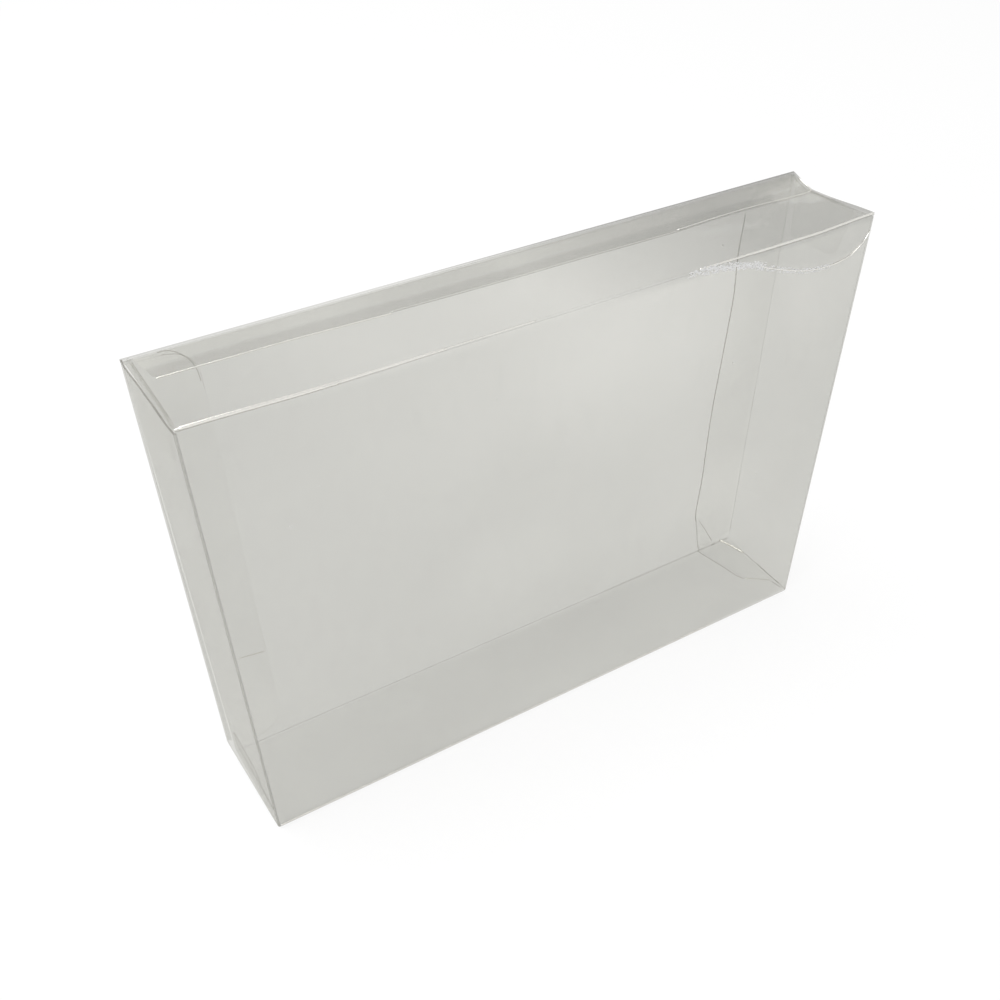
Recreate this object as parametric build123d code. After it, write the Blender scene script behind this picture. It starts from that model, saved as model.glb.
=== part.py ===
from build123d import *
import math
import os

# A slim folding box of clear film, cut and creased from one sheet.
# X runs along the width, Y from the front wall to the back wall, Z up.
# The origin is the centre of the bottom wall's underside.
# The tube is front, bottom, back and top walls; its two ends are closed by lids.

# Outside of the closed box
WIDTH = 186.0
DEPTH = 32.0
HEIGHT = 132.5

# Film and the radius that a crease takes on its outside
FILM = 0.4
CREASE_RADIUS = 0.6

# Gaps that let the lids and flaps move
LID_GAP = 0.3
LID_TRIM = 0.3
TUCK_GAP = 0.4

# Lids: how far each bottom edge rises from hinge to fold, and how far
# the left lid stands open at the top and at the bottom of its fold
LEFT_LID_RISE = 4.2
RIGHT_LID_RISE = 0.6
LEFT_AJAR_TOP = 0.7
LEFT_AJAR_BOTTOM = 1.9

# Tuck flaps, measured from the outside of the closed lid
LEFT_TUCK_LENGTH = 15.0
RIGHT_TUCK_LENGTH = 17.0
TUCK_CORNER_RADIUS = 6.5
TUCK_LEAN_DEG = 4.5

# Glue flap under the top wall
GLUE_FLAP_WIDTH = 10.6
GLUE_FLAP_END_GAP = 2.5
GLUE_FLAP_TAPER = 2.4
GLUE_FLAP_RADIUS = 1.5

# Dust flaps at the ends of the top and bottom walls
DUST_LENGTH = 14.0
DUST_INSET = 2.0
DUST_FROM_BACK = 3.2
DUST_FROM_FRONT = 6.6
DUST_BACK_TAPER = 1.6
DUST_FRONT_TAPER = 3.3
DUST_BACK_RADIUS = 1.2
DUST_FRONT_RADIUS = 2.5
PUSHED_IN_DEG = 167.0
UPRIGHT_DEG = 90.0

# Places worked out from the sizes above
OUTER_X = WIDTH / 2
INNER_X = OUTER_X - FILM
WALL_END_X = INNER_X - LID_GAP
DUST_CREASE_X = OUTER_X - DUST_INSET
FRONT_Y = -DEPTH / 2
BACK_Y = DEPTH / 2
BACK_INNER_Y = BACK_Y - FILM
FOLD_Y = BACK_INNER_Y - TUCK_GAP - FILM
LID_TOP_Z = HEIGHT - LID_TRIM
LID_HINGE_Z = LID_TRIM
TUCK_LOW_Z = LID_TRIM + LEFT_LID_RISE
TUCK_TOP_Z = HEIGHT - 2 * FILM - LID_TRIM


def span(x_range, y_range, z_range):
    """A block between two values on each axis."""
    sizes = [high - low for low, high in (x_range, y_range, z_range)]
    middle = [(high + low) / 2 for low, high in (x_range, y_range, z_range)]
    return Pos(*middle) * Box(*sizes)


def tube():
    """The four walls, with the groove where the back crease meets the top wall's raw edge."""
    inner_radius = CREASE_RADIUS - FILM
    outline = RectangleRounded(DEPTH, HEIGHT, CREASE_RADIUS)
    outline -= RectangleRounded(DEPTH - 2 * FILM, HEIGHT - 2 * FILM, inner_radius)
    walls = extrude(Plane.YZ * Pos(0, HEIGHT / 2) * outline, OUTER_X, both=True)
    raw_edge = span(
        (-OUTER_X, OUTER_X),
        (BACK_Y - CREASE_RADIUS, BACK_Y),
        (HEIGHT - FILM, HEIGHT),
    )
    return walls + raw_edge - seam_groove()


def seam_groove():
    """The hollow beside the rounded crease, under the top wall's raw back edge."""
    corner = Pos(FILM / 2, FILM / 2) * Rectangle(FILM, FILM) - Circle(FILM)
    profile = Plane.YZ * Pos(BACK_INNER_Y, HEIGHT - 2 * FILM) * corner
    return extrude(profile, OUTER_X - GLUE_FLAP_END_GAP - GLUE_FLAP_TAPER, both=True)


def glue_flap():
    """The seam flap, creased from the back wall and glued under the top wall."""
    root = OUTER_X - GLUE_FLAP_END_GAP
    tip = root - GLUE_FLAP_TAPER
    free_y = BACK_Y - GLUE_FLAP_WIDTH
    points = [(-root, BACK_INNER_Y), (root, BACK_INNER_Y), (tip, free_y), (-tip, free_y)]
    outline = make_face(Polyline(points, close=True))
    outline = fillet(outline.vertices().sort_by(Axis.Y)[:2], GLUE_FLAP_RADIUS)
    return Pos(0, 0, HEIGHT - 2 * FILM) * extrude(outline, FILM)


def end_clearance():
    """What is cut from the tube's right end to make room for the lid and the dust flaps."""
    all_z = (-FILM, HEIGHT + FILM)
    past_end = OUTER_X + FILM
    lid_room = span((INNER_X, past_end), (FRONT_Y - FILM, BACK_INNER_Y), all_z)
    wall_ends = span((WALL_END_X, past_end), (FRONT_Y + FILM, BACK_INNER_Y), all_z)
    dust_room = span((DUST_CREASE_X, past_end), dust_root(), all_z)
    return lid_room + wall_ends + dust_room


def dust_root():
    """The two ends of a dust flap's crease, front and back."""
    return FRONT_Y + DUST_FROM_FRONT, BACK_Y - DUST_FROM_BACK


def dust_flap(turn_deg):
    """A dust flap at the right end of the bottom wall, turned up about its crease."""
    front, back = dust_root()
    tip_x = DUST_CREASE_X + DUST_LENGTH
    points = [
        (DUST_CREASE_X, front),
        (DUST_CREASE_X, back),
        (tip_x, back - DUST_BACK_TAPER),
        (tip_x - DUST_FRONT_RADIUS / 2, front + DUST_FRONT_TAPER),
    ]
    outline = make_face(Polyline(points, close=True))
    front_tip, back_tip = outline.vertices().sort_by(Axis.X)[2:].sort_by(Axis.Y)
    outline = fillet(front_tip, DUST_FRONT_RADIUS)
    back_tip = outline.vertices().sort_by_distance((tip_x, back))[0]
    outline = fillet(back_tip, DUST_BACK_RADIUS)
    crease = Axis((DUST_CREASE_X, 0, FILM), (0, -1, 0))
    root = Plane.YZ.offset(DUST_CREASE_X) * Pos((front + back) / 2, FILM / 2)
    root_face = root * Rectangle(back - front, FILM)
    panel = extrude(outline, FILM).rotate(crease, turn_deg)
    return panel + revolve(root_face, crease, turn_deg)


def left_dust_turn():
    """The left lower dust flap leans out until it is one gap short of the ajar lid."""
    front_tip_y = FRONT_Y + DUST_FROM_FRONT + DUST_FRONT_TAPER
    share = (front_tip_y - FRONT_Y) / (FOLD_Y - FRONT_Y)
    room = DUST_INSET - 2 * FILM - LID_GAP + LEFT_AJAR_TOP * share
    return UPRIGHT_DEG - math.degrees(math.atan2(room, DUST_LENGTH))


def box_sleeve():
    """The glued tube with its glue flap and its four dust flaps."""
    body = tube() - end_clearance() - mirror(end_clearance(), about=Plane.YZ)
    top_of = Plane.XY.offset(HEIGHT / 2)
    standing = dust_flap(UPRIGHT_DEG)
    upper_right = mirror(standing, about=top_of)
    upper_left = mirror(upper_right, about=Plane.YZ)
    lower_right = dust_flap(PUSHED_IN_DEG)
    lower_left = mirror(dust_flap(left_dust_turn()), about=Plane.YZ)
    return body + glue_flap() + upper_right + upper_left + lower_right + lower_left


def fold_ends(rise, ajar_top, ajar_bottom):
    """The lower and upper ends of a lid's fold line, on the inside of the film."""
    lower = Vector(INNER_X + ajar_bottom, FOLD_Y, LID_HINGE_Z + rise)
    upper = Vector(INNER_X + ajar_top, FOLD_Y, LID_TOP_Z)
    return lower, upper


def quad(points):
    """A flat four-cornered face."""
    return make_face(Polyline(points, close=True))


def lid(rise, ajar_top, ajar_bottom):
    """A right-hand end lid from its hinge crease to its rounded fold."""
    lower, upper = fold_ends(rise, ajar_top, ajar_bottom)
    hinge_edge = quad([
        (INNER_X, FRONT_Y, LID_HINGE_Z),
        (OUTER_X, FRONT_Y, LID_HINGE_Z),
        (OUTER_X, FRONT_Y, LID_TOP_Z),
        (INNER_X, FRONT_Y, LID_TOP_Z),
    ])
    step = Vector(FILM, 0, 0)
    fold_edge = quad([lower, lower + step, upper + step, upper])
    panel = loft([hinge_edge, fold_edge], ruled=True)
    along = upper - lower
    fold = Plane(origin=lower, x_dir=(1, 0, 0), z_dir=along)
    on_the_line = (Align.NONE, Align.NONE, Align.MIN)
    return panel + fold * Cylinder(FILM, along.length, arc_size=90, align=on_the_line)


def tuck_flap(length, rise, ajar_top, ajar_bottom):
    """A right-hand tuck flap behind the back wall's inner face, leaning in at its free edge."""
    lower, upper = fold_ends(rise, ajar_top, ajar_bottom)
    along = upper - lower
    low_root = lower + along * ((TUCK_LOW_Z - lower.Z) / along.Z)
    high_root = lower + along * ((TUCK_TOP_Z - lower.Z) / along.Z)
    free_x = OUTER_X - length
    outline = quad([
        low_root,
        high_root,
        (free_x, FOLD_Y, TUCK_TOP_Z),
        (free_x, FOLD_Y, TUCK_LOW_Z),
    ])
    outline = fillet(outline.vertices().sort_by(Axis.X)[:2], TUCK_CORNER_RADIUS)
    panel = extrude(outline, FILM, dir=(0, 1, 0))
    return panel.rotate(Axis(lower, along), TUCK_LEAN_DEG)


def main():
    """Write one STEP file for each panel that moves, and one for the tube."""
    left = (LEFT_LID_RISE, LEFT_AJAR_TOP, LEFT_AJAR_BOTTOM)
    right = (RIGHT_LID_RISE, 0, 0)
    nodes = {
        "box_sleeve": box_sleeve(),
        "left_lid": mirror(lid(*left), about=Plane.YZ),
        "left_tuck_flap": mirror(tuck_flap(LEFT_TUCK_LENGTH, *left), about=Plane.YZ),
        "right_lid": lid(*right),
        "right_tuck_flap": tuck_flap(RIGHT_TUCK_LENGTH, *right),
    }
    os.makedirs("parts", exist_ok=True)
    for name, shape in nodes.items():
        export_step(shape, f"parts/{name}.step")


main()
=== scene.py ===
import math

import bpy
import numpy as np
from mathutils import Matrix


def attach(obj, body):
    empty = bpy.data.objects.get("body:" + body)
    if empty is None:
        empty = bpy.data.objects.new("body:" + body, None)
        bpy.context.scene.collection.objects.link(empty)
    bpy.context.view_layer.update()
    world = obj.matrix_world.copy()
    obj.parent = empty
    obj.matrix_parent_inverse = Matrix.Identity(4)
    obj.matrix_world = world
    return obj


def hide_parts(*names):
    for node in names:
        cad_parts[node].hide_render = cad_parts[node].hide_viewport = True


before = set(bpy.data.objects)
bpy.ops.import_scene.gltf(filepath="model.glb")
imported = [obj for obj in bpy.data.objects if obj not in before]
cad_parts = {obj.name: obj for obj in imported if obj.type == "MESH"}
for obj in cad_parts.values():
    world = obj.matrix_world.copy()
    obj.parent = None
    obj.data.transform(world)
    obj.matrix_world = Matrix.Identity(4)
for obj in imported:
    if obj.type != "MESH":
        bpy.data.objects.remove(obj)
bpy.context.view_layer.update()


# The glued tube: front, bottom, back and top walls with the glue flap that
# runs on from the back wall under the top wall. One sheet of clear PET film,
# creased four times and stuck along the top seam.
MM = 0.001
FILM = 0.4
BEND = 0.6
BEND_FACES = 6
ROW_GAP = 2.0
TUBE_COLUMNS = 112
OUTER_X, FRONT_Y, BACK_Y, TOP_Z = 93.0, -16.0, 16.0, 132.5
LID_START_X = OUTER_X - BEND
TOP_END_X = 92.9
BOTTOM_END_X = 92.95

# What each face looks like. A kind's number is its material's place in FILM_SLOTS. DARK and CUT are painted
# shade along creases and cut edges, and PALE is partly whitened film and partly a painted highlight along
# creases
WALL, DARK, PALE, SOFT, FLAP, GLUE, CUT, FAINT = range(8)


def maths(tree, operation, *values):
    """What a maths node makes of numbers or of other nodes' outputs."""
    node = tree.nodes.new("ShaderNodeMath")
    node.operation = operation
    for socket, value in zip(node.inputs, values):
        if isinstance(value, (int, float)):
            socket.default_value = value
        else:
            tree.links.new(value, socket)
    return node.outputs[0]


def mixed(tree, share, first, second):
    """Two shaders mixed, with that share of the second."""
    node = tree.nodes.new("ShaderNodeMixShader")
    for socket, value in zip(node.inputs, (share, first, second)):
        tree.links.new(value, socket)
    return node.outputs[0]


def handled_film_group():
    """What every panel of handled film shows: cloudy tone, rub marks, specks and a slight ripple."""
    group = bpy.data.node_groups.new("handled_film", "ShaderNodeTree")
    for name, start in (
        ("Cloud Size", 0.07),
        ("Cloud Depth", 0.06),
        ("Rub Size", 0.004),
        ("Rub Amount", 0.02),
        ("Speck Amount", 0.3),
        ("Bruise", 0.0),
        ("Ripple", 0.4),
    ):
        socket = group.interface.new_socket(name, in_out="INPUT", socket_type="NodeSocketFloat")
        socket.default_value = start
    for name, kind in (("Tone", "Float"), ("Haze", "Float"), ("Normal", "Vector")):
        group.interface.new_socket(name, in_out="OUTPUT", socket_type="NodeSocket" + kind)
    new, link = group.nodes.new, group.links.new
    given, out = new("NodeGroupInput"), new("NodeGroupOutput")
    place = new("ShaderNodeTexCoord")

    def noise(scale, detail, stretch=(1, 1, 1)):
        stretched = new("ShaderNodeMapping")
        stretched.inputs["Scale"].default_value = stretch
        link(place.outputs["Object"], stretched.inputs["Vector"])
        node = new("ShaderNodeTexNoise")
        node.inputs["Detail"].default_value = detail
        link(stretched.outputs["Vector"], node.inputs["Vector"])
        if isinstance(scale, (int, float)):
            node.inputs["Scale"].default_value = scale
        else:
            link(scale, node.inputs["Scale"])
        return node.outputs["Fac"]

    # The cloudy tone, over the piece's own tone, which on the tube's walls is partly painted light and shade
    own = new("ShaderNodeAttribute")
    own.attribute_name = "tone"
    cloud = noise(maths(group, "DIVIDE", 1.0, given.outputs["Cloud Size"]), 2.0)
    tone = maths(group, "MULTIPLY", maths(group, "SUBTRACT", cloud, 0.5), given.outputs["Cloud Depth"])
    tone = maths(group, "MULTIPLY", maths(group, "ADD", tone, 1.0), own.outputs["Fac"])
    link(tone, out.inputs["Tone"])

    # The haze: rub marks, milky streaks where the film is bruised, and specks of grit
    rub_threshold, rub_contrast, bruise_strength = 0.52, 3.0, 4.0
    grit_cells, grit_radius = 45.0, 0.012
    rub = noise(maths(group, "DIVIDE", 1.0, given.outputs["Rub Size"]), 5.0, (1, 1, 0.35))
    rub = maths(group, "MULTIPLY", maths(group, "SUBTRACT", rub, rub_threshold), rub_contrast)
    rub = maths(group, "MULTIPLY", maths(group, "MAXIMUM", rub, 0.0), given.outputs["Rub Amount"])
    streak = maths(group, "MULTIPLY", noise(90.0, 4.0), noise(14.0, 1.0))
    bruise = maths(group, "MULTIPLY", streak, bruise_strength)
    bruise = maths(group, "MULTIPLY", bruise, given.outputs["Bruise"])
    grit = new("ShaderNodeTexVoronoi")
    grit.inputs["Scale"].default_value = grit_cells
    link(place.outputs["Object"], grit.inputs["Vector"])
    speck = maths(group, "LESS_THAN", grit.outputs["Distance"], grit_radius)
    speck = maths(group, "MULTIPLY", speck, given.outputs["Speck Amount"])
    haze = maths(group, "MAXIMUM", maths(group, "ADD", rub, bruise), speck)
    link(haze, out.inputs["Haze"])

    # The ripple in the gloss
    bump = new("ShaderNodeBump")
    bump.inputs["Distance"].default_value = 0.0004
    link(given.outputs["Ripple"], bump.inputs["Strength"])
    link(noise(38.0, 2.0), bump.inputs["Height"])
    link(bump.outputs["Normal"], out.inputs["Normal"])
    return group


handled_film = handled_film_group()

# The haze is milky. Plain film gleams grey, and film that has been strained gleams cream
MILKY = (0.92, 0.92, 0.9)
GREY = (0.79, 0.785, 0.75)
CREAM = (1.0, 0.985, 0.94)


def film_material(name, clear, gleam, rub=0.02, specks=0.3, bruise=0.0, mirror=0.03, slant_mirror=0.45):
    """Clear gloss film: tinted see-through, a mirror that grows at a slant, and a thin white haze."""
    material = bpy.data.materials.new(name)
    material.use_nodes = True
    tree = material.node_tree
    tree.nodes.clear()
    new, link = tree.nodes.new, tree.links.new
    wear = new("ShaderNodeGroup")
    wear.node_tree = handled_film
    wear.inputs["Rub Amount"].default_value = rub
    wear.inputs["Speck Amount"].default_value = specks
    wear.inputs["Bruise"].default_value = bruise
    tint, through = new("ShaderNodeVectorMath"), new("ShaderNodeBsdfTransparent")
    tint.operation = "SCALE"
    tint.inputs[0].default_value = clear
    link(wear.outputs["Tone"], tint.inputs["Scale"])
    link(tint.outputs[0], through.inputs["Color"])
    haze = new("ShaderNodeBsdfPrincipled")
    haze.inputs["Base Color"].default_value = (*MILKY, 1)
    haze.inputs["Roughness"].default_value = 0.45
    most_haze = 0.9
    cover = maths(tree, "MINIMUM", wear.outputs["Haze"], most_haze)
    body = mixed(tree, cover, through.outputs[0], haze.outputs[0])
    shine = new("ShaderNodeBsdfGlossy")
    shine.inputs["Color"].default_value = (*gleam, 1)
    shine.inputs["Roughness"].default_value = 0.09
    link(wear.outputs["Normal"], shine.inputs["Normal"])
    slant = new("ShaderNodeLayerWeight")
    slant.inputs["Blend"].default_value = 0.5
    link(wear.outputs["Normal"], slant.inputs["Normal"])
    slant_power = 4.0
    power = maths(tree, "POWER", slant.outputs["Facing"], slant_power)
    share = maths(tree, "MULTIPLY_ADD", power, slant_mirror, mirror)
    out = new("ShaderNodeOutputMaterial")
    link(mixed(tree, share, body, shine.outputs[0]), out.inputs["Surface"])
    return material


wall_film = film_material("clear_wall_film", (0.88, 0.879, 0.868), GREY)
# The dark crease and cut edge films are painted shade: a deeper grey for the film's darkening where it bends
# and at its raw edges
dark_crease = film_material("dark_creased_film", (0.78, 0.777, 0.762), GREY, mirror=0.02, slant_mirror=0.1)
# Partly whitened film and partly a painted highlight along the creases
pale_crease = film_material(
    "whitened_crease_and_painted_highlight_film", (0.9, 0.9, 0.89), CREAM, bruise=0.08, mirror=0.42, slant_mirror=0.3
)
soft_crease = film_material("soft_creased_film", (0.88, 0.88, 0.87), GREY, bruise=0.04, slant_mirror=0.1)
flap_film = film_material(
    "clear_flap_film", (0.995, 0.995, 0.993), GREY, rub=0.008, specks=0.2, mirror=0.004, slant_mirror=0.05
)
glue_and_shade_film = film_material(
    "glued_seam_and_painted_shade_film", (0.96, 0.959, 0.954), GREY, rub=0.015, mirror=0.01, slant_mirror=0.1
)
# Painted shade along the cut edges
cut_film = film_material(
    "cut_film_edge", (0.6, 0.592, 0.572), GREY, bruise=0.05, mirror=0.02, slant_mirror=0.1
)
faint_cut = film_material(
    "faint_cut_film_edge", (0.96, 0.96, 0.95), GREY, bruise=0.02, mirror=0.01, slant_mirror=0.05
)
FILM_SLOTS = (wall_film, dark_crease, pale_crease, soft_crease, flap_film, glue_and_shade_film, cut_film, faint_cut)


def smooth(low, high, value):
    """A soft step from 0 at low to 1 at high, where high may also be the smaller of the two."""
    t = np.clip((value - low) / (high - low), 0, 1)
    return t * t * (3 - 2 * t)


def spot(*offsets):
    """A soft bell, 1 at its middle, from the distances to it in units of its reach."""
    return np.exp(-sum(offset**2 for offset in offsets))


def wavy(a, b):
    """A shallow, irregular ripple between -1 and 1 over a panel."""
    long_wave = 0.5 * np.sin(a / 14 + b / 23 + 0.7)
    return long_wave + 0.3 * np.sin(a / 31 - b / 17 + 2.1) + 0.2 * np.sin(a / 9 + b / 41)


# The crest of the dent in the front wall's upper right corner, from the top crease to the right edge
DENT_X = (21.8, 36.7, 42.1, 48.6, 53.6, 58.0, 64.3, 69.8, 74.2, 79.6, 83.9, 87.2, 90.2, 91.8, 92.4)
DENT_Z = (
    132.3, 132.1, 131.6, 130.4, 129.4, 127.3, 125.1, 123.4, 122.6, 122.0, 122.0, 122.8, 124.7, 126.8, 128.0
)
DENT_DEPTH = 1.1
WALL_RIPPLE, TOP_RIPPLE = 0.5, 0.2
RIGHT_LIFT, LEFT_LIFT = 0.8, 0.7
BACK_EDGE_DROP = 0.25


def end_dip(x, y):
    """How far the top wall's right end sags between its front crease and the stiff glued strip."""
    across = np.interp(y, (-16, 7.5, 11, 16), (0, 1.9, 1.3, 0))
    return across * smooth(55, 93, x)


def relax(points):
    """Where the tube's film really lies: rippled, dented, lifted at two corners and dipped at the right."""
    x, y, z = points[..., 0], points[..., 1], points[..., 2]
    front = smooth(-15.0, -15.9, y)
    back = smooth(15.0, 15.9, y) * smooth(131.8, 128, z)
    top = smooth(130.5, 131.9, z)
    mid_x = np.clip(1 - (x / OUTER_X) ** 2, 0, 1)
    mid_z = np.clip(4 * z * (TOP_Z - z) / TOP_Z**2, 0, 1)
    mid_y = np.clip(1 - (y / BACK_Y) ** 2, 0, 1)
    lift = RIGHT_LIFT * smooth(72, 92, x) + LEFT_LIFT * smooth(-60, -92, x)
    lift = lift * smooth(106, 132, z) * smooth(4, -16, y)
    above_crest = z - np.interp(x, DENT_X, DENT_Z)
    dent = smooth(-0.6, 4.0, above_crest) * smooth(26, 60, x)
    dent = dent * smooth(93.2, 84, x) * smooth(TOP_Z, 128.5, z)
    moved = points.copy()
    moved[..., 1] += front * (WALL_RIPPLE * wavy(x, z) * mid_x * mid_z + DENT_DEPTH * dent)
    moved[..., 1] += back * WALL_RIPPLE * wavy(x + 40, z + 15) * mid_x * mid_z
    moved[..., 2] += top * TOP_RIPPLE * wavy(x, 3 * y) * mid_x * mid_y
    moved[..., 2] += lift * np.maximum(front, top)
    moved[..., 2] -= top * end_dip(x, y) + BACK_EDGE_DROP * top * smooth(14.5, 16, y)
    return moved


def tube_tone_and_painted_light(points):
    """How much light each wall passes beside the plain film, at each point of the tube: partly the film's own
    cloudy tone and partly painted light and shade, as soft lighter and darker patches on the walls.
    """
    x, y, z = points[..., 0], points[..., 1], points[..., 2]

    # The top wall is lighter at its middle and duller at its right, partly its own tone and partly painted
    # light and shade, with a painted light streak at its right.
    # Its back edge has painted shade towards the right
    top = np.interp(x, (-93, -45, 0, 30, 60, 93), (0.985, 1.09, 1.19, 1.0, 0.85, 0.84))
    top = top * (1 - 0.3 * smooth(15.2, 15.6, y) * smooth(-30, 20, x))
    streak_y = np.interp(x, (45, 58, 67), (-0.9, -2.1, -4.0))
    top = top + 0.07 * spot((y - streak_y) / 1.3) * smooth(44, 54, x) * smooth(69, 62, x)

    # The front wall has a painted sheen high up in its middle and near its right end, a faint painted darker
    # patch left of its middle, and painted shade above the dent's crest
    front = 0.99 + 0.17 * spot((x - 10) / 50) * smooth(70, 118, z) + 0.02 * smooth(0, 50, x)
    front = front - 0.02 * spot((x + 20) / 40, (z - 92) / 22)
    above_dent = smooth(-1, 2, z - np.interp(x, DENT_X, DENT_Z)) * smooth(40, 60, x)
    front = front * (1 - 0.10 * above_dent) * (1 + 0.05 * smooth(60, 75, x) * smooth(95, 118, z))

    # The back wall has a soft painted patch of light low in its middle, and the bottom wall is lighter
    # towards the left
    back = 1 + 0.08 * spot((x - 20) / 60, (z - 30) / 30)
    bottom = np.interp(x, (-93, -60, 0, 60, 93), (1.04, 1.03, 1.005, 0.985, 0.985))
    on_top = z > np.where(y > 15.3, 132.15, 131.3)
    wall = np.where(on_top, top, np.where(y < -15.3, front, np.where(y > 15.3, back, bottom)))
    return np.sqrt(wall)


def sheet_faces(rows, columns, start):
    """The faces between the points of a grid, with its first point at start."""
    first = start + np.arange(rows - 1)[:, None] * columns + np.arange(columns - 1)
    return np.stack([first, first + 1, first + columns + 1, first + columns], axis=-1).reshape(-1, 4)


def film_sheet(name, sheets):
    """A piece of closed film sheets, each with its outer points, face kinds, cut edge's kind and tone."""
    verts, faces, kinds, tones = [], [], [], []
    start = 0
    for points, row_kinds, edge_kind, tone in sheets:
        rows, columns = points.shape[:2]
        along, across = np.gradient(points, axis=0), np.gradient(points, axis=1)
        normal = np.cross(across, along)
        normal /= np.linalg.norm(normal, axis=-1, keepdims=True)
        both = np.concatenate([points, points - normal * FILM]).reshape(-1, 3)
        count = rows * columns
        outer = sheet_faces(rows, columns, start)
        inner = sheet_faces(rows, columns, start + count)[:, ::-1]
        corner = np.arange(count).reshape(rows, columns) + start
        rim = np.concatenate([corner[0, :-1], corner[:-1, -1], corner[-1, :0:-1], corner[:0:-1, 0]])
        following = np.roll(rim, -1)
        edge = np.stack([following, rim, rim + count, following + count], axis=-1)
        verts.append(both * MM)
        faces.extend([outer, inner, edge])
        kinds_given = np.array(row_kinds)
        face_kinds = kinds_given.ravel() if kinds_given.ndim == 2 else np.repeat(kinds_given, columns - 1)
        edge_kinds = edge_kind(points.reshape(-1, 3)[rim - start]) if callable(edge_kind) else edge_kind
        kinds.extend([face_kinds, face_kinds, np.broadcast_to(edge_kinds, len(edge))])
        tones.append(np.broadcast_to(tone, (2, rows, columns)).ravel())
        start += 2 * count
    mesh = bpy.data.meshes.new(name)
    mesh.from_pydata(np.concatenate(verts).tolist(), [], np.concatenate(faces).tolist())
    mesh.polygons.foreach_set("material_index", np.concatenate(kinds).astype(np.int32))
    tone_values = mesh.attributes.new("tone", "FLOAT", "POINT").data
    tone_values.foreach_set("value", np.concatenate(tones).astype(np.float32))
    for material in FILM_SLOTS:
        mesh.materials.append(material)
    mesh.shade_smooth()
    mesh.set_sharp_from_angle(angle=math.radians(50))
    piece = bpy.data.objects.new(name, mesh)
    bpy.context.scene.collection.objects.link(piece)
    return piece


def arc(centre, radius, start_deg, end_deg):
    """Points round a bend of BEND_FACES faces, without its two ends."""
    turns = np.radians(np.linspace(start_deg, end_deg, BEND_FACES + 1)[1:-1])
    return [(centre[0] + radius * math.cos(t), centre[1] + radius * math.sin(t)) for t in turns]


def steps_between(low, high, gap):
    """Even steps from low to high, about that far apart."""
    return np.linspace(low, high, max(2, int(round(abs(high - low) / gap)) + 1))


# The glue flap's width along the seam, how its short ends slant in, its crease, its rows of faces
# and the gap that the glue leaves under the top wall
GLUE_X = (-91.0, -60.0, -35.0, 0.0, 43.0, 60.0, 75.0, 90.3, 92.5)
GLUE_WIDTH = (9.7, 9.9, 11.0, 12.0, 12.0, 11.3, 10.1, 9.3, 9.0)
GLUE_LEFT_X, GLUE_RIGHT_X = GLUE_X[0], GLUE_X[-1]
GLUE_LEFT_SLANT, GLUE_RIGHT_SLANT = 1.5, 0.6
GLUE_LEFT_CORNER, GLUE_RIGHT_CORNER = 0.9, 1.2
GLUE_BEND = 0.3
GLUE_ROWS = 16
SEAM_GAP = 0.05

# How many of the top wall's rows lie over that flap, and where creases and edges change their look
ROWS_OVER_FLAP = 5
PLAIN_STRETCH_FROM, PLAIN_STRETCH_TO = -45, 52
DARK_BACK_EDGE_FROM, DARK_END_FROM, DARK_BACK_CREASE_FROM = -20, 91.2, 40


def bulge(y):
    """How far the left end's film stands out, from the front wall at -16 to the back wall at 16."""
    return np.interp(y, (-15.4, -12.0, -4.0, 3.7, 8.7, 13.0, 15.2), (0.0, 0.2, 0.1, 0.05, 0.15, 0.2, 0.0))


def top_end(y):
    """Where the top wall ends at the right: its back corner sticks out a little past the lid."""
    return float(np.interp(y, (-16, 11.5, 14, 16), (92.9, 92.9, 93.4, 93.5)))


def left_top_end(y):
    """Where the top wall ends at the left: its back corner reaches over the ajar lid's fold."""
    over_fold = 0.7 * float(smooth(13.0, 15.5, y))
    return -TOP_END_X - float(bulge(y)) - over_fold


def tube_rim(points):
    """Kinds of the sheet's cut edges: dark with painted shade at the top wall's back and right, faint round
    the glue flap.
    """
    x, y, z = points.T
    on_top = (z > 129.5) & ((y > 15.9) | (x > 92.7))
    return np.where(on_top, DARK, np.where(np.abs(x) > 91.9, WALL, FAINT))


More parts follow.
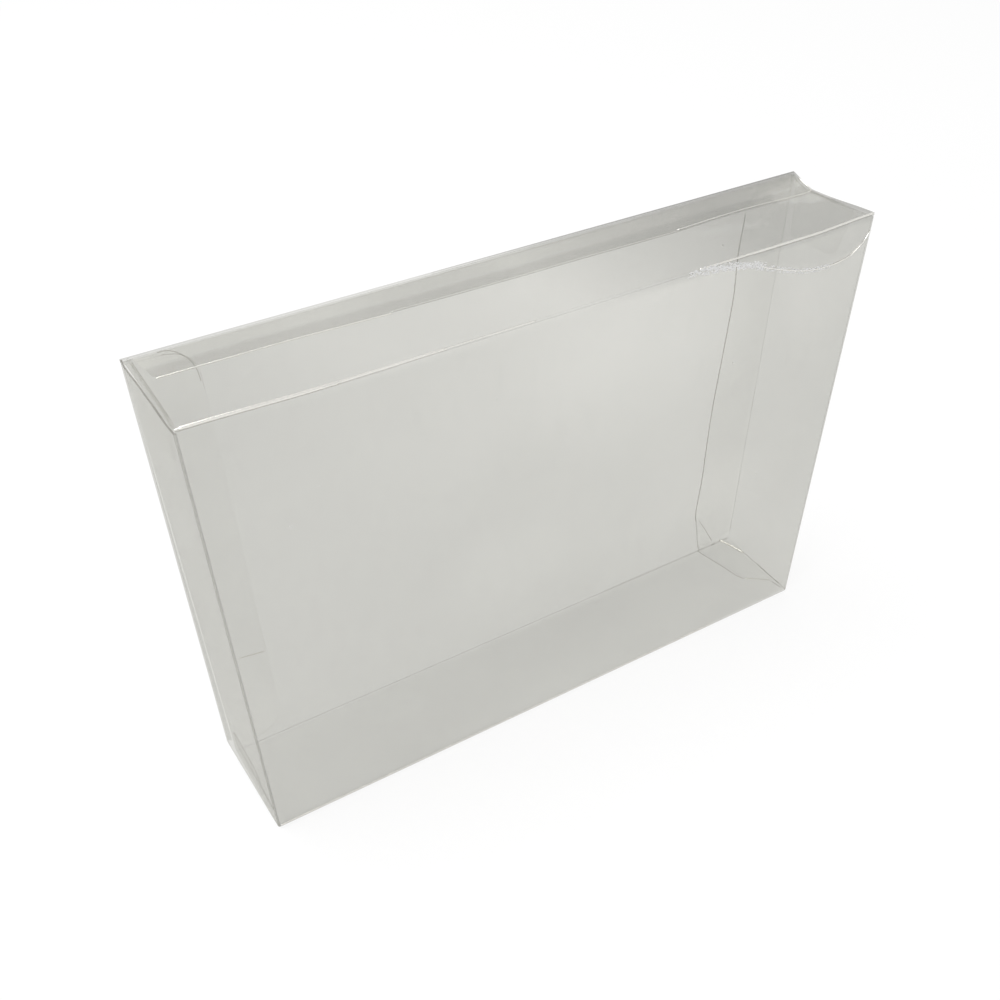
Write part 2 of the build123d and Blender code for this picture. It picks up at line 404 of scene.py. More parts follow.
def tube_strip():
    """The sheet round the tube, from the top wall's raw back edge to the glue flap's free edge."""
    inner, mixed_end = BACK_Y - BEND, (TOP_END_X + LID_START_X) / 2
    rows = [(y, TOP_Z, left_top_end(y), top_end(y)) for y in [BACK_Y, *steps_between(inner, -inner, ROW_GAP)]]
    kinds = [WALL] * (len(rows) - 1)
    top_crease = len(kinds)
    # The crease faces of kind DARK are painted shade, and those of kind PALE partly whitened film and partly
    # a painted highlight
    rows += [(y, z, -mixed_end, mixed_end) for y, z in arc((-inner, TOP_Z - BEND), BEND, 90, 180)]
    kinds += [SOFT, PALE, PALE, PALE, DARK, DARK]
    front = steps_between(TOP_Z - BEND, BEND, ROW_GAP)
    rows += [(FRONT_Y, z, -LID_START_X, LID_START_X) for z in front]
    kinds += [WALL] * (len(front) - 1)
    rows += [(y, z, -mixed_end, mixed_end) for y, z in arc((-inner, BEND), BEND, 180, 270)]
    kinds += [PALE, DARK, DARK, DARK, DARK, DARK]
    bottom = steps_between(-inner, inner, ROW_GAP)
    rows += [(y, 0.0, -BOTTOM_END_X, BOTTOM_END_X) for y in bottom]
    kinds += [WALL] * (len(bottom) - 1)
    back_crease = len(kinds)
    rows += [(y, z, -BOTTOM_END_X, BOTTOM_END_X) for y, z in arc((inner, BEND), BEND, 270, 360)]
    kinds += [SOFT, SOFT, DARK, DARK, SOFT, SOFT]
    back = steps_between(BEND, TOP_Z - FILM - SEAM_GAP - GLUE_BEND, ROW_GAP)
    rows += [(BACK_Y, z, -OUTER_X, OUTER_X) for z in back]
    kinds += [WALL] * (len(back) - 1)
    glue_arc = arc((BACK_Y - GLUE_BEND, back[-1]), GLUE_BEND, 0, 90)
    rows += [(y, z, GLUE_LEFT_X, GLUE_RIGHT_X) for y, z in glue_arc]
    kinds += [SOFT] * BEND_FACES
    flat = np.linspace(1, -1, TUBE_COLUMNS)
    points = [[((right - left) * (u + 1) / 2 + left, y, z) for u in flat] for y, z, left, right in rows]
    tones = [1.0] * len(rows)

    # The glue flap narrows towards its free edge, where its two corners are cut off
    for share in np.linspace(0, 1, GLUE_ROWS + 1):
        left = GLUE_LEFT_X + GLUE_LEFT_SLANT * share + GLUE_LEFT_CORNER * (share == 1)
        right = GLUE_RIGHT_X - GLUE_RIGHT_SLANT * share - GLUE_RIGHT_CORNER * (share == 1)
        x = (right - left) * (flat + 1) / 2 + left
        width = np.interp(x, GLUE_X, GLUE_WIDTH) - GLUE_BEND
        points.append([(a, BACK_Y - GLUE_BEND - w * share, back[-1] + GLUE_BEND) for a, w in zip(x, width)])
        tones.append(1.02 - 0.075 * float(smooth(0.52, 0.68, share)))
    kinds += [GLUE] * GLUE_ROWS
    points = relax(np.array(points))
    tones = np.array(tones)[:, None]
    stuck_x = (-91, -86, -60, -10, 40, 80, 93)
    stuck = np.interp(points[..., 0], stuck_x, (1.06, 1.02, 0.98, 0.90, 0.96, 1.04, 1.06))
    seam = np.where(tones != 1, tones * stuck / tube_tone_and_painted_light(points) ** 0.5, 1)

    # The top front crease is whitened, with a painted highlight, near its ends alone. Towards the right the
    # top wall's back edge, its right end and the crease under the back wall have painted shade
    by_face = np.repeat(np.array(kinds)[:, None], len(flat) - 1, axis=1)
    face_x = (flat[:-1] + flat[1:]) / 2 * OUTER_X
    plain_stretch = (face_x > PLAIN_STRETCH_FROM) & (face_x < PLAIN_STRETCH_TO)
    plain_crease = np.array([DARK, SOFT, SOFT, SOFT, DARK, SOFT])[:, None]
    by_face[top_crease : top_crease + BEND_FACES, plain_stretch] = plain_crease
    by_face[0, face_x > DARK_BACK_EDGE_FROM] = DARK
    by_face[ROWS_OVER_FLAP:top_crease, face_x > DARK_END_FROM] = DARK
    by_face[back_crease : back_crease + BEND_FACES, face_x > DARK_BACK_CREASE_FROM] = DARK
    return points, by_face, tube_rim, tube_tone_and_painted_light(points) * seam


# The four dust flaps, one at each end of the top and bottom walls: short
# panels with rounded tips, creased from the wall. Three hang or stand at the
# ends and the lower right one is pushed in above the bottom wall.
DUST_ROOT_X = 91.7
DUST_ROOT_Y = (-9.4, 12.8)
DUST_LENGTH = 14.0
DUST_TAPERS = (3.3, 1.6)
DUST_ROUNDS = (2.5, 1.2)
DUST_CURL = 0.35
UPRIGHT_DEG, LEANING_DEG, PUSHED_IN_DEG = 90, 85.4, 167
PUSHED_IN_LENGTHS, PUSHED_IN_SHIFT = (11.0, 15.2), 2.3


def dust_sheet(
    turn_deg,
    above,
    left,
    lengths=(DUST_LENGTH, DUST_LENGTH),
    back_shift=0.0,
    back_taper=DUST_TAPERS[1],
    fold=FLAP,
    panel=FLAP,
    rim=FAINT,
):
    """One dust flap, from its crease at the wall's end to its rounded tip, with lengths front and back."""
    turns = np.radians(np.linspace(0, turn_deg, 8))
    rows = [(DUST_ROOT_X + FILM * math.sin(t), FILM - FILM * math.cos(t), 0.0) for t in turns]
    out = (math.cos(turns[-1]), math.sin(turns[-1]))
    along = np.array([1, 3, 5, 7, 9, 10.5, 11.5, 12.2, 12.8, 13.3, 13.7, 13.9, 14.0]) / DUST_LENGTH
    root_x, root_z, _ = rows[-1]
    rows += [(root_x, root_z, s) for s in along]
    share = np.linspace(0, 1, 15)
    length = lengths[0] + (lengths[1] - lengths[0]) * share

    def rounding(s, radius):
        into = max(0.0, s * DUST_LENGTH - (DUST_LENGTH - radius))
        return radius - math.sqrt(max(radius**2 - into**2, 0.0))

    grid = []
    for x, z, s in rows:
        front = DUST_ROOT_Y[0] + DUST_TAPERS[0] * s + rounding(s, DUST_ROUNDS[0])
        back = DUST_ROOT_Y[1] + back_shift - back_taper * s - rounding(s, DUST_ROUNDS[1])
        curl = DUST_CURL * math.sin(math.pi * s)
        row_x = x + length * s * out[0] + curl * out[1]
        row_z = z + length * s * out[1]
        grid.append(np.stack([row_x, front + (back - front) * share, row_z], axis=-1))
    points = np.array(grid)
    if above:
        points[..., 2] = TOP_Z - points[..., 2]
    if left:
        points[..., 0] *= -1
    if above != left:
        points = points[:, ::-1]
    if above:
        points[..., 2] -= end_dip(points[..., 0], points[..., 1])
    return points, [fold] * (len(turns) - 1) + [panel] * len(along), rim, 1.0


upper_right_flap = dust_sheet(UPRIGHT_DEG, above=True, left=False)
upper_left_flap = dust_sheet(UPRIGHT_DEG, above=True, left=True, fold=SOFT)
lower_right_flap = dust_sheet(PUSHED_IN_DEG, False, False, PUSHED_IN_LENGTHS, PUSHED_IN_SHIFT, 0.0)
# Its crease and cut edges are DARK, painted shade
lower_left_flap = dust_sheet(LEANING_DEG, above=False, left=True, fold=DARK, panel=GLUE, rim=DARK)
sleeve = film_sheet(
    "film_sleeve", [tube_strip(), upper_right_flap, upper_left_flap, lower_right_flap, lower_left_flap]
)
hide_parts("box_sleeve")
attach(sleeve, "sleeve")


# The end lids, one panel of the same film at each end, creased to the front
# wall and folded at their far edge into a tuck flap. The right one is shut.
# The left one stands a little ajar and bows outwards at its top.
FOLD_Y = 14.8
LID_LOW_Z, LID_TOP_Z = 0.3, 132.2
LID_STEP = 1.6


def lid_sheet(ajar_top, ajar_bottom, rise, bow, dip, hinge_kinds, fold_kind, rim, tone):
    """A right-hand lid from the front wall's end, round its crease, to its fold."""
    heights = np.linspace(0, 1, 67)
    runs = [(LID_START_X, FRONT_Y, 0.0)]
    runs += [(LID_START_X + x, y, 0.0) for x, y in arc((0, FRONT_Y + BEND), BEND, 270, 360)]
    kinds = list(hinge_kinds)
    flat = steps_between(FRONT_Y + BEND, FOLD_Y, LID_STEP)
    runs += [(OUTER_X, y, 1.0) for y in flat]
    kinds += [WALL] * (len(flat) - 1)
    runs += [(OUTER_X - FILM + x, y, 1.0) for x, y in arc((0, FOLD_Y), FILM, 0, 90)]
    runs += [(OUTER_X - FILM, FOLD_Y + FILM, 1.0)]
    kinds += [fold_kind] * BEND_FACES
    grid = []
    for x, y, bowed in runs:
        along = np.clip((y - FRONT_Y) / (FOLD_Y - FRONT_Y), 0, 1)
        low = LID_LOW_Z + rise * along
        high = LID_TOP_Z - dip(y)
        ajar = heights * ajar_top + (1 - heights) * ajar_bottom
        out = ajar * along + bowed * bow(y, heights)
        grid.append(np.stack([x + out, np.full_like(heights, y), low + (high - low) * heights], axis=-1))
    return np.array(grid)[:, ::-1], kinds, rim, tone


def lid_rim(points):
    """The left lid's cut edges, dark with painted shade: the upper one is darkest."""
    return np.where(points[:, 2] > 125, CUT, DARK)


def left_dip(y):
    """The left lid's top edge, which stands up a little at its fold."""
    return -0.3 * float(smooth(11.5, 15.0, y))


def left_bow(y, heights):
    """How far the left lid's film bows outwards from the flat panel, which is most near its top."""
    return bulge(y) * (0.25 + 0.75 * smooth(0.55, 1.0, heights))


def right_bow(y, heights):
    """The shut lid only ripples a little between its crease and its fold."""
    across = np.clip(1 - (y / (BACK_Y - BEND)) ** 2, 0, 1)
    return -0.25 * across * (0.5 + 0.5 * np.sin(7 * heights + 0.6))


def right_dip(y):
    """How far the right lid's top edge gives way with the sagging top wall."""
    return float(end_dip(OUTER_X, y))


def mirrored(sheet):
    """The same sheet at the left end."""
    points, kinds, *rest = sheet
    kinds = np.array(kinds)
    return (points * np.array([-1, 1, 1]))[:, ::-1], kinds[:, ::-1] if kinds.ndim == 2 else kinds, *rest


# How far each lid stands open at the top and the bottom of its fold, and how far its lower edge rises
LEFT_AJAR, RIGHT_AJAR = (0.7, 1.9), (0.0, 0.0)
LEFT_RISE, RIGHT_RISE = 6.9, 0.4

# The lids' DARK crease and fold faces are painted shade
left_hinge = (SOFT, DARK, DARK, DARK, DARK, SOFT)
left_panel = lid_sheet(*LEFT_AJAR, LEFT_RISE, left_bow, left_dip, left_hinge, DARK, lid_rim, 0.95)
left_lid = film_sheet("film_left_lid", [mirrored(left_panel)])
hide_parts("left_lid")
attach(left_lid, "left_end")

right_hinge = (SOFT, SOFT, SOFT, DARK, DARK, SOFT)
right_panel = lid_sheet(*RIGHT_AJAR, RIGHT_RISE, right_bow, right_dip, right_hinge, SOFT, WALL, 1.005)
right_lid = film_sheet("film_right_lid", [right_panel])
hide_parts("right_lid")
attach(right_lid, "right_end")


# The tuck flaps, creased from the lids' far edges and pushed in behind the
# back wall. The right one's free edge has gone wavy with use and its lower
# corner is bent inwards.
TUCK_TOP_Z, TUCK_LOW_Z = 131.3, 4.5
TUCK_LEAN = math.radians(4.5)
TUCK_ROUND = 6.5
TUCK_RIPPLE = 0.3
ROOT_LIFT_REACH, ROOT_LIFT_HEIGHT = 4, 12
LEFT_EDGE_X = 78.0
BENT_CORNER = ((75.6, 17.8), (82.5, 4.5), math.radians(23))


def tuck_sheet(ajar, free_edge, corner_rounds, edge, covered_x, root_lift=0.0, bend_line=None):
    """A right-hand tuck flap as rows up its height, from the fold to its free edge."""
    ajar_top, ajar_bottom = ajar
    low, high, margin = TUCK_LOW_Z, TUCK_TOP_Z, 7
    stretches = ((low, low + margin, 15), (low + margin, high - margin, 70), (high - margin, high, 15))
    heights = np.unique(np.concatenate([np.linspace(*stretch) for stretch in stretches]))
    grid = []
    for z in heights:
        along = (z - low) / (LID_TOP_Z - low)
        fold_x = OUTER_X - FILM + ajar_bottom + (ajar_top - ajar_bottom) * along
        free = free_edge(z)
        for edge_z, radius in zip((low, high), corner_rounds):
            into = max(0.0, radius - abs(z - edge_z))
            free += radius - math.sqrt(max(radius**2 - into**2, 0.0))
        bare = (fold_x - covered_x) / (fold_x - free)
        columns = np.concatenate([[0, bare / 2], np.linspace(bare, 1, 12)])
        reach = (fold_x - free) * columns
        ripple = TUCK_RIPPLE * np.sin(z / 13 + 0.8) * columns**2
        y = FOLD_Y + FILM - reach * math.sin(TUCK_LEAN) - ripple - 0.1 * columns
        x = fold_x - reach * math.cos(TUCK_LEAN)
        if bend_line:
            (x0, z0), (x1, z1), turn = bend_line
            past = ((z0 - z) * (x1 - x0) - (x0 - x) * (z1 - z0)) / math.hypot(x1 - x0, z1 - z0)
            y = y - np.clip(past, 0, None) * math.tan(turn)
        near_root = np.clip(1 - reach / ROOT_LIFT_REACH, 0, 1)
        lift = root_lift * near_root * max(0.0, 1 - (z - low) / ROOT_LIFT_HEIGHT)
        grid.append(np.stack([x, y, z + lift], axis=-1))
    points = np.array(grid)
    kinds = np.full((len(heights) - 1, len(columns) - 1), FLAP)
    kinds[:, :2] = SOFT if root_lift else GLUE
    return points, kinds, edge, 1.0


def left_edge(z):
    """The left flap's free edge, which is straight up its whole height."""
    return LEFT_EDGE_X


def left_cut(points):
    """The free edge is faint, apart from its upper corner close under the top wall, which is dark with
    painted shade.
    """
    return np.where((points[:, 2] > 122) & (points[:, 0] > -85.5), CUT, FAINT)


left_flap = tuck_sheet(LEFT_AJAR, left_edge, (10.0, TUCK_ROUND), left_cut, covered_x=93.4, root_lift=2.8)
left_tuck = film_sheet("film_left_tuck", [mirrored(left_flap)])
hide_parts("left_tuck_flap")
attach(left_tuck, "left_tuck")

RIGHT_EDGE_Z = (2.6, 9.7, 17.5, 18.5, 36.0, 65.0, 88.5, 101.0, 113.3, 126.2)
RIGHT_EDGE_X = (75.8, 73.9, 73.5, 72.9, 74.3, 74.2, 75.1, 75.8, 75.1, 76.1)


def right_edge(z):
    """The right flap's wavy free edge, eased away from the bend across its corner."""
    near = np.linspace(-3, 3, 9) * min(1.0, abs(z - 18.0) / 6)
    return float(np.mean(np.interp(z + near, RIGHT_EDGE_Z, RIGHT_EDGE_X)))


def right_cut(points):
    """The free edge is dark with painted shade where it shows, and faint behind the glue flap and along the
    short ends.
    """
    x, y, z = points.T
    shown = (z > 17) & (z < 124.5) & (x < 79.5)
    bent = (z < 17) & (x < 76.5)
    return np.where(shown, CUT, np.where(bent, DARK, FAINT))


right_flap = tuck_sheet(
    RIGHT_AJAR, right_edge, (1.5, TUCK_ROUND), right_cut, covered_x=92.45, bend_line=BENT_CORNER
)
right_tuck = film_sheet("film_right_tuck", [right_flap])
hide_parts("right_tuck_flap")
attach(right_tuck, "right_tuck")


# The bruised lines that folding and knocks have left in the film, with painted light and shade: the crest
# of the dent in the front wall, the glue flap's whitened edge, the creases and a few short scores. The film
# goes milky where it has been strained; the bright lines and flecks are also painted highlights, and the dark
# lines painted shade.
bruised_and_highlight_film = film_material(
    "bruised_line_and_painted_highlight", (0.995, 0.995, 0.99), CREAM, bruise=0.2, mirror=0.68, slant_mirror=0.1
)
crazed_film_and_painted_glint = film_material(
    "crazed_film_and_painted_glint", (0.995, 0.995, 0.99), CREAM, rub=0.0, specks=0.0, mirror=0.85, slant_mirror=0.0
)
# Painted shade, for the dark lines along edges and folds
shaded_film = film_material("dark_film_line", (0.86, 0.857, 0.845), GREY, mirror=0.0, slant_mirror=0.0)


def growing_tree(name, result, **starts):
    """A tree that grows something on a path, with those sizes and counts as its inputs, and a film."""
    tree = bpy.data.node_groups.new(name, "GeometryNodeTree")
    face = tree.interface
    face.new_socket("Path", in_out="INPUT", socket_type="NodeSocketGeometry")
    for socket, start in starts.items():
        kind = "NodeSocketInt" if isinstance(start, int) else "NodeSocketFloat"
        face.new_socket(socket, in_out="INPUT", socket_type=kind).default_value = start
    face.new_socket("Film", in_out="INPUT", socket_type="NodeSocketMaterial")
    face.new_socket(result, in_out="OUTPUT", socket_type="NodeSocketGeometry")
    return tree, tree.nodes.new("NodeGroupInput")


def paint_and_put_out(tree, given, growth):
    """The end of a tree: what has grown is made real, gets its film and is put out."""
    new, link = tree.nodes.new, tree.links.new
    real, paint = new("GeometryNodeRealizeInstances"), new("GeometryNodeSetMaterial")
    out = new("NodeGroupOutput")
    link(growth, real.inputs["Geometry"])
    link(real.outputs["Geometry"], paint.inputs["Geometry"])
    link(given.outputs["Film"], paint.inputs["Material"])
    link(paint.outputs["Geometry"], out.inputs[0])


def score_line_tree():
    """A fine rounded line of one material that follows any path and thins out towards its ends."""
    tree, given = growing_tree("score_line", "Line", Radius=0.0001, Step=0.0008)
    new, link = tree.nodes.new, tree.links.new
    curve, even = new("GeometryNodeMeshToCurve"), new("GeometryNodeResampleCurve")
    taper, sweep = new("GeometryNodeSetCurveRadius"), new("GeometryNodeCurveToMesh")
    ring = new("GeometryNodeCurvePrimitiveCircle")
    even.mode = "LENGTH"
    share = new("GeometryNodeSplineParameter").outputs["Factor"]
    from_ends = maths(tree, "MULTIPLY", share, maths(tree, "SUBTRACT", 1.0, share))
    steepness, end_radius = 12.0, 0.15
    swelling = maths(tree, "MULTIPLY_ADD", from_ends, steepness, end_radius)
    link(maths(tree, "MINIMUM", swelling, 1.0), taper.inputs["Radius"])
    ring.inputs["Resolution"].default_value = 6
    sweep.inputs["Fill Caps"].default_value = True
    link(given.outputs["Path"], curve.inputs["Mesh"])
    link(curve.outputs["Curve"], even.inputs["Curve"])
    link(given.outputs["Step"], even.inputs["Length"])
    link(given.outputs["Radius"], ring.inputs["Radius"])
    link(even.outputs["Curve"], taper.inputs["Curve"])
    link(taper.outputs["Curve"], sweep.inputs["Curve"])
    link(ring.outputs["Curve"], sweep.inputs["Profile Curve"])
    paint_and_put_out(tree, given, sweep.outputs["Mesh"])
    return tree


def fleck_band_tree():
    """Small flat flecks strewn along a path, for film that has crazed on the crest of a dent and for the
    painted glint along it.
    """
    tree, given = growing_tree("fleck_band", "Flecks", Spread=0.001, Fleck=0.0003, Count=200, Seed=3)
    new, link = tree.nodes.new, tree.links.new
    curve, even = new("GeometryNodeMeshToCurve"), new("GeometryNodeCurveToPoints")
    link(given.outputs["Path"], curve.inputs["Mesh"])
    link(curve.outputs["Curve"], even.inputs["Curve"])
    link(given.outputs["Count"], even.inputs["Count"])

    def chance(low, high, extra):
        """A random vector between low and high, with its own seed."""
        node = new("FunctionNodeRandomValue")
        node.data_type = "FLOAT_VECTOR"
        least, most = (s for s in node.inputs if s.enabled and s.name in ("Min", "Max"))
        least.default_value, most.default_value = low, high
        link(maths(tree, "ADD", given.outputs["Seed"], extra), node.inputs["Seed"])
        return next(s for s in node.outputs if s.enabled)

    stray, reach = new("ShaderNodeVectorMath"), new("GeometryNodeSetPosition")
    stray.operation = "SCALE"
    link(chance((-0.5, 0.0, -1.0), (0.5, 0.0, 1.0), 1), stray.inputs[0])
    link(given.outputs["Spread"], stray.inputs["Scale"])
    link(even.outputs["Points"], reach.inputs["Geometry"])
    link(stray.outputs[0], reach.inputs["Offset"])
    fleck, place = new("GeometryNodeMeshIcoSphere"), new("GeometryNodeInstanceOnPoints")
    fleck.inputs["Subdivisions"].default_value = 1
    link(given.outputs["Fleck"], fleck.inputs["Radius"])
    link(reach.outputs["Geometry"], place.inputs["Points"])
    link(fleck.outputs["Mesh"], place.inputs["Instance"])
    link(chance((0.8, 0.1, 0.2), (3.4, 0.16, 0.8), 2), place.inputs["Scale"])
    link(chance((0.0, -0.7, 0.0), (0.0, 0.9, 0.0), 3), place.inputs["Rotation"])
    paint_and_put_out(tree, given, place.outputs["Instances"])
    return tree


def grown(name, path, tree, **values):
    """The mesh that a tree grows on a path of points in millimetres, with its inputs set by name."""
    mesh = bpy.data.meshes.new(name + "_path")
    mesh.from_pydata((np.array(path) * MM).tolist(), [(i, i + 1) for i in range(len(path) - 1)], [])
    piece = bpy.data.objects.new(name, mesh)
    bpy.context.scene.collection.objects.link(piece)
    grow = piece.modifiers.new("grow", "NODES")
    grow.node_group = tree
    for item in tree.interface.items_tree:
        if item.in_out == "INPUT" and item.name in values:
            grow[item.identifier] = values[item.name]
    seen = piece.evaluated_get(bpy.context.evaluated_depsgraph_get())
    grown_mesh = bpy.data.meshes.new_from_object(seen)
    bpy.data.objects.remove(piece)
    return grown_mesh


def joined_lines(name, meshes, body):
    """One piece made of several grown meshes, riding on that body."""
    verts, faces, kinds, start = [], [], [], 0
    materials = []
    for mesh in meshes:
        material = mesh.materials[0]
        if material not in materials:
            materials.append(material)
        verts += [tuple(v.co) for v in mesh.vertices]
        faces += [tuple(start + i for i in p.vertices) for p in mesh.polygons]
        kinds += [materials.index(material)] * len(mesh.polygons)
        start = len(verts)
    whole = bpy.data.meshes.new(name)
    whole.from_pydata(verts, [], faces)
    for material in materials:
        whole.materials.append(material)
    whole.polygons.foreach_set("material_index", kinds)
    whole.attributes.new("tone", "FLOAT", "POINT").data.foreach_set("value", [1.0] * len(verts))
    whole.shade_smooth()
    piece = bpy.data.objects.new(name, whole)
    bpy.context.scene.collection.objects.link(piece)
    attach(piece, body)
    return piece


score_line, fleck_band = score_line_tree(), fleck_band_tree()

# How far lines and flecks stand off the film, so that they show
LINE_LIFT, FLECK_LIFT, SEAM_LIFT = 0.05, 0.16, 0.02


def scored(name, path, radius, film):
    """A fine line along a path, with its radius in millimetres."""
    return grown(name, path, score_line, Radius=radius * MM, Film=film)


def crazed(name, path, spread, fleck, count, seed):
    """Flecks of crazed film along a path, with their spread and size in millimetres, which also paint the
    glint on the crest.
    """
    sizes = {"Spread": spread * MM, "Fleck": fleck * MM}
    return grown(name, path, fleck_band, **sizes, Count=count, Seed=seed, Film=crazed_film_and_painted_glint)


def on_wall(x, z):
    """A point just proud of the front wall's outer face."""
    point = relax(np.array([x, FRONT_Y, z]))
    return point[0], point[1] - LINE_LIFT, point[2]


def eased(path):
    """The same path with every point but its ends at the mean of three neighbours."""
    inner = [tuple(np.mean(path[i - 1 : i + 2], axis=0)) for i in range(1, len(path) - 1)]
    return path[:1] + inner + path[-1:]


def stretch_of(path, low, high):
    """The part of a path between two values of x."""
    return [point for point in path if low < point[0] < high]


crest_x = np.concatenate([np.linspace(26, 86, 46), np.linspace(87, 92.4, 16)])
crest = eased([on_wall(x, float(np.interp(x, DENT_X, DENT_Z))) for x in crest_x])
before_crest = [(x, y - FLECK_LIFT, z) for x, y, z in crest]


def along_seam(low, high, back):
    """Points on the top wall near the glue flap's free edge, where the edge shows as a fine ridge with a
    painted highlight.
    """
    xs = np.linspace(low, high, int((high - low) / 2) + 2)
    ys = BACK_Y - np.interp(xs, GLUE_X, GLUE_WIDTH) + back
    return relax(np.stack([xs, ys, np.full_like(xs, TOP_Z)], axis=-1)) + np.array([0, 0, SEAM_LIFT])


def along_crease(low, high, count):
    """Points on the outside of the crease between the top wall and the front wall."""
    return [tuple(relax(np.array([x, FRONT_Y + 0.35, TOP_Z - 0.1]))) for x in np.linspace(low, high, count)]


SEAM_END = (
    (90.4, 6.3, 132.5),
    (91.6, 6.5, 132.5),
    (92.3, 7.2, 132.5),
    (92.6, 8.4, 132.5),
    (92.7, 10.5, 132.5),
    (92.7, 13.0, 132.5),
)
# The soft dark band along the top wall's left crease is painted shade, a line in the glued film's grey
LEFT_CREASE = [(-92.0, y, TOP_Z - 0.25) for y in np.linspace(15.0, -11.5, 26)]
LEFT_CREASE += [(-92.4, -13.5, 132.2), (-92.8, -15.4, 132.1)]
FLAP_EDGE = ((75.7, 12.4, 4.5), (78.5, 3.2, 3.8), (80.3, -4.3, 3.4), (81.6, -6.3, 3.1))
FLAP_TIP = ((82.2, -6.5, 3.0), (83.6, -6.9, 2.8), (90.4, -9.9, 1.1))
FLAP_CORNER = ((90.8, -10.8, 1.0), (91.6, -14.3, 0.8))
FLAP_FOLD = ((88.5, 15.2, 1.6), (90.2, 11.2, 1.4), (92.0, 5.7, 1.1))
LID_FOOT = ((92.4, -1.3, 1.0), (92.4, -7.1, 0.8), (92.4, -12.6, 0.9))
PINCH = ((85.1, 15.3, 0.7), (85.9, 15.3, 1.0), (86.6, 15.2, 0.9))
marks = [
    scored("crest", stretch_of(crest, 55, OUTER_X), 0.22, bruised_and_highlight_film),
    crazed("flecks", stretch_of(before_crest, 32, 81), 0.7, 0.2, 380, 3),
    crazed("smear", stretch_of(before_crest, 36, 57), 1.1, 0.22, 200, 11),
    scored("crease_left", along_crease(-91.8, -58, 16), 0.42, bruised_and_highlight_film),
    scored("crease_fading", along_crease(-62, -33, 14), 0.28, bruised_and_highlight_film),
    scored("crease_faint", along_crease(-38, -10, 14), 0.13, bruised_and_highlight_film),
    scored("crease_right", along_crease(36, 92.7, 28), 0.26, bruised_and_highlight_film),
    scored("seam_left", along_seam(-89.5, -36, -1.7), 0.16, bruised_and_highlight_film),
    scored("seam_middle", along_seam(-36, 44, -0.8), 0.05, bruised_and_highlight_film),
    scored("seam_right", along_seam(44, 90.4, -0.4), 0.13, bruised_and_highlight_film),
    scored("seam_end", relax(np.array(SEAM_END)), 0.16, bruised_and_highlight_film),
    scored("left_crease", LEFT_CREASE, 0.4, glue_and_shade_film),
    scored("flap_shade", FLAP_EDGE, 0.16, shaded_film),
    scored("flap_tip", FLAP_TIP, 0.16, bruised_and_highlight_film),
    scored("flap_corner", FLAP_CORNER, 0.2, shaded_film),
    scored("flap_fold", FLAP_FOLD, 0.36, bruised_and_highlight_film),
    scored("lid_foot", LID_FOOT, 0.16, shaded_film),
    scored("pinch", PINCH, 0.3, shaded_film),
    scored("foot_light", ((-92.2, -15.95, 0.85), (60.0, -15.95, 0.85)), 0.14, bruised_and_highlight_film),
    scored("foot_shade", ((-92.4, -15.8, 0.2), (92.4, -15.8, 0.2)), 0.16, shaded_film),
]
joined_lines("film_bruises", marks, "sleeve")

# The lines on the tuck flaps swing with them
TUCK_CORNER = (
    (-85.9, 15.0, 132.0),
    (-83.8, 15.0, 131.9),
    (-81.9, 15.0, 130.9),
    (-80.3, 15.0, 129.3),
    (-79.1, 15.0, 127.6),
    (-78.3, 15.0, 124.7),
    (-78.2, 15.0, 122.5),
)
LEFT_TICK = ((-85.7, 14.9, 36.9), (-78.4, 14.9, 35.8))
CORNER_BEND = ((75.4, 13.3, 17.6), (79.2, 13.7, 11.8), (83.6, 14.1, 4.6))
left_marks = [
    scored("tuck_corner", TUCK_CORNER, 0.13, shaded_film),
    scored("left_tick", LEFT_TICK, 0.12, bruised_and_highlight_film),
]
joined_lines("left_flap_lines", left_marks, "left_tuck")
right_marks = [scored("corner_bend", CORNER_BEND, 0.14, shaded_film)]
joined_lines("right_flap_lines", right_marks, "right_tuck")


# The setting: a plain white floor under soft lamps, and the camera where the
# photograph was taken from, in front of the left end and above it, looking
# down 46 degrees.
FLOOR_REACH, FLOOR_Z = 6, -0.0005
floor_corners = [(x * FLOOR_REACH, y * FLOOR_REACH, FLOOR_Z) for x, y in ((-1, -1), (1, -1), (1, 1), (-1, 1))]
floor_mesh = bpy.data.meshes.new("floor")
floor_mesh.from_pydata(floor_corners, [], [(0, 1, 2, 3)])
floor = bpy.data.objects.new("floor", floor_mesh)
bpy.context.scene.collection.objects.link(floor)


def seen_directly(tree):
    """1 for camera, glossy and transmission rays, 0 for light that falls on things."""
    rays = tree.nodes.new("ShaderNodeLightPath").outputs
    seen = maths(tree, "MAXIMUM", rays["Is Camera Ray"], rays["Is Glossy Ray"])
    return maths(tree, "MAXIMUM", seen, rays["Is Transmission Ray"])


PAPER_GLOW = 0.82
paper = bpy.data.materials.new("white_paper")
paper.use_nodes = True
paper_tree = paper.node_tree
paper_skin = paper_tree.nodes["Principled BSDF"]
paper_skin.inputs["Base Color"].default_value = (0.97, 0.97, 0.97, 1)
paper_skin.inputs["Roughness"].default_value = 0.9
paper_skin.inputs["Specular IOR Level"].default_value = 0.1
paper_glow = paper_tree.nodes.new("ShaderNodeEmission")
paper_share = maths(paper_tree, "MULTIPLY", seen_directly(paper_tree), PAPER_GLOW)
paper_mix = mixed(paper_tree, paper_share, paper_skin.outputs[0], paper_glow.outputs[0])
paper_tree.links.new(paper_mix, paper_tree.nodes["Material Output"].inputs["Surface"])
floor_mesh.materials.append(paper)

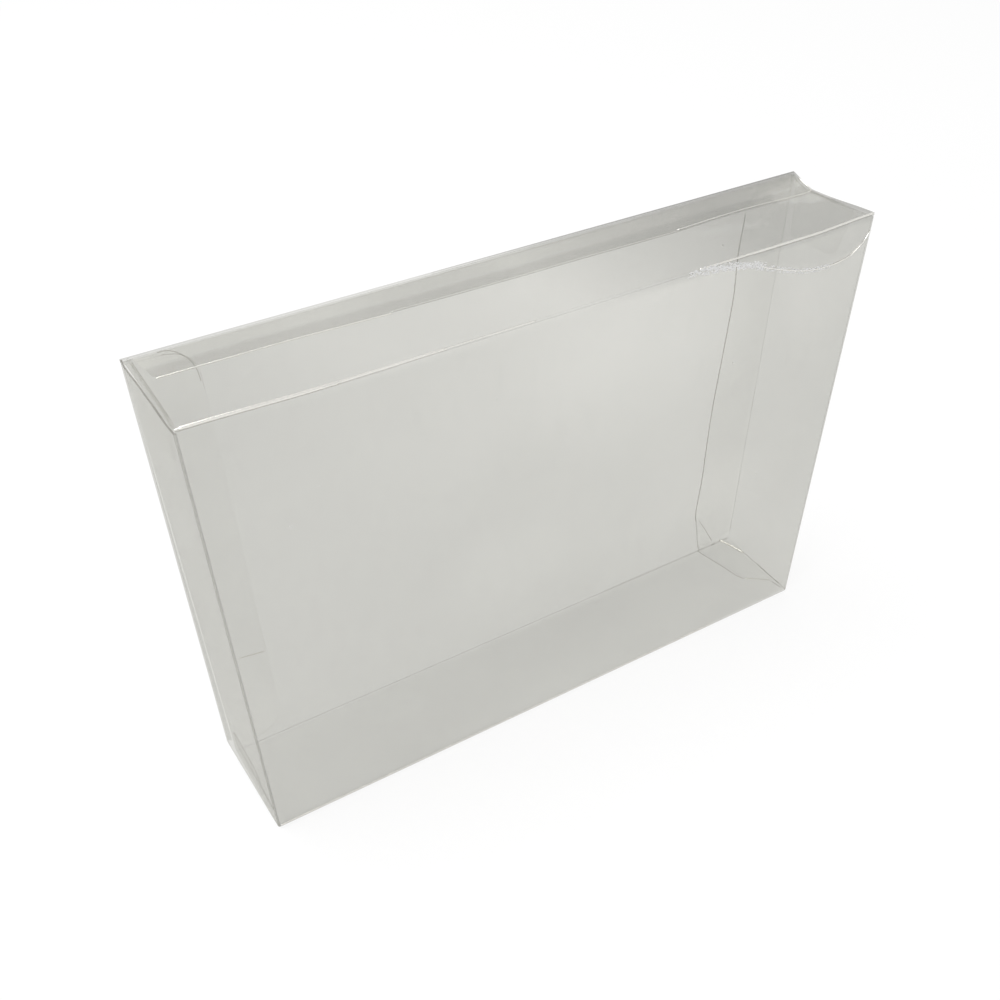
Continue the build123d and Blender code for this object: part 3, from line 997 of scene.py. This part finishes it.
world = bpy.data.worlds.new("studio")
bpy.context.scene.world = world
world.use_nodes = True
world_tree = world.node_tree
world_light = world_tree.nodes["Background"]
world_light.inputs["Color"].default_value = (1, 1, 1, 1)
world_light.inputs["Strength"].default_value = 0.6
world_seen = world_tree.nodes.new("ShaderNodeBackground")
world_seen.inputs["Color"].default_value = (0.8, 0.8, 0.8, 1)
world_mix = mixed(world_tree, seen_directly(world_tree), world_light.outputs[0], world_seen.outputs[0])
world_tree.links.new(world_mix, world_tree.nodes["World Output"].inputs["Surface"])


def soft_lamp(name, place, aim, size, watts):
    """A square soft lamp at place, turned towards aim."""
    lamp = bpy.data.lights.new(name, "AREA")
    lamp.size = size
    lamp.energy = watts
    holder = bpy.data.objects.new(name, lamp)
    back = np.array(place) - np.array(aim)
    back = back / np.linalg.norm(back)
    right = np.cross((0, 0, 1), back)
    right = right / np.linalg.norm(right)
    rows = np.stack([right, np.cross(back, right), back, place], axis=1)
    holder.matrix_world = Matrix([*rows.tolist(), [0, 0, 0, 1]])
    bpy.context.scene.collection.objects.link(holder)


soft_lamp("lamp_over", (-0.3, 0.25, 1.3), (0, 0, 0.05), 0.9, 10.5)
soft_lamp("lamp_left", (-1.2, -0.5, 0.8), (0, 0, 0.05), 0.6, 5.5)

CAMERA_PLACE = (-0.12908, -0.20278, 0.25906)
CAMERA_RIGHT = (0.84493916, -0.53461815, 0.01616335)
CAMERA_UP = (0.3723056, 0.60957106, 0.69986546)
CAMERA_BACK = (-0.38401349, -0.58532603, 0.71409179)
camera_data = bpy.data.cameras.new("camera")
camera_data.sensor_width = 36.0
camera_data.lens = 39.774
camera_data.shift_x = -0.04266
camera_data.shift_y = 0.13433
camera_data.clip_start = 0.005
camera = bpy.data.objects.new("camera", camera_data)
frame_rows = np.stack([CAMERA_RIGHT, CAMERA_UP, CAMERA_BACK, CAMERA_PLACE], axis=1)
camera.matrix_world = Matrix([*frame_rows.tolist(), [0, 0, 0, 1]])
bpy.context.scene.collection.objects.link(camera)
bpy.context.scene.camera = camera
bpy.context.scene.view_settings.view_transform = "Standard"
bpy.context.scene.cycles.transparent_max_bounces = 32
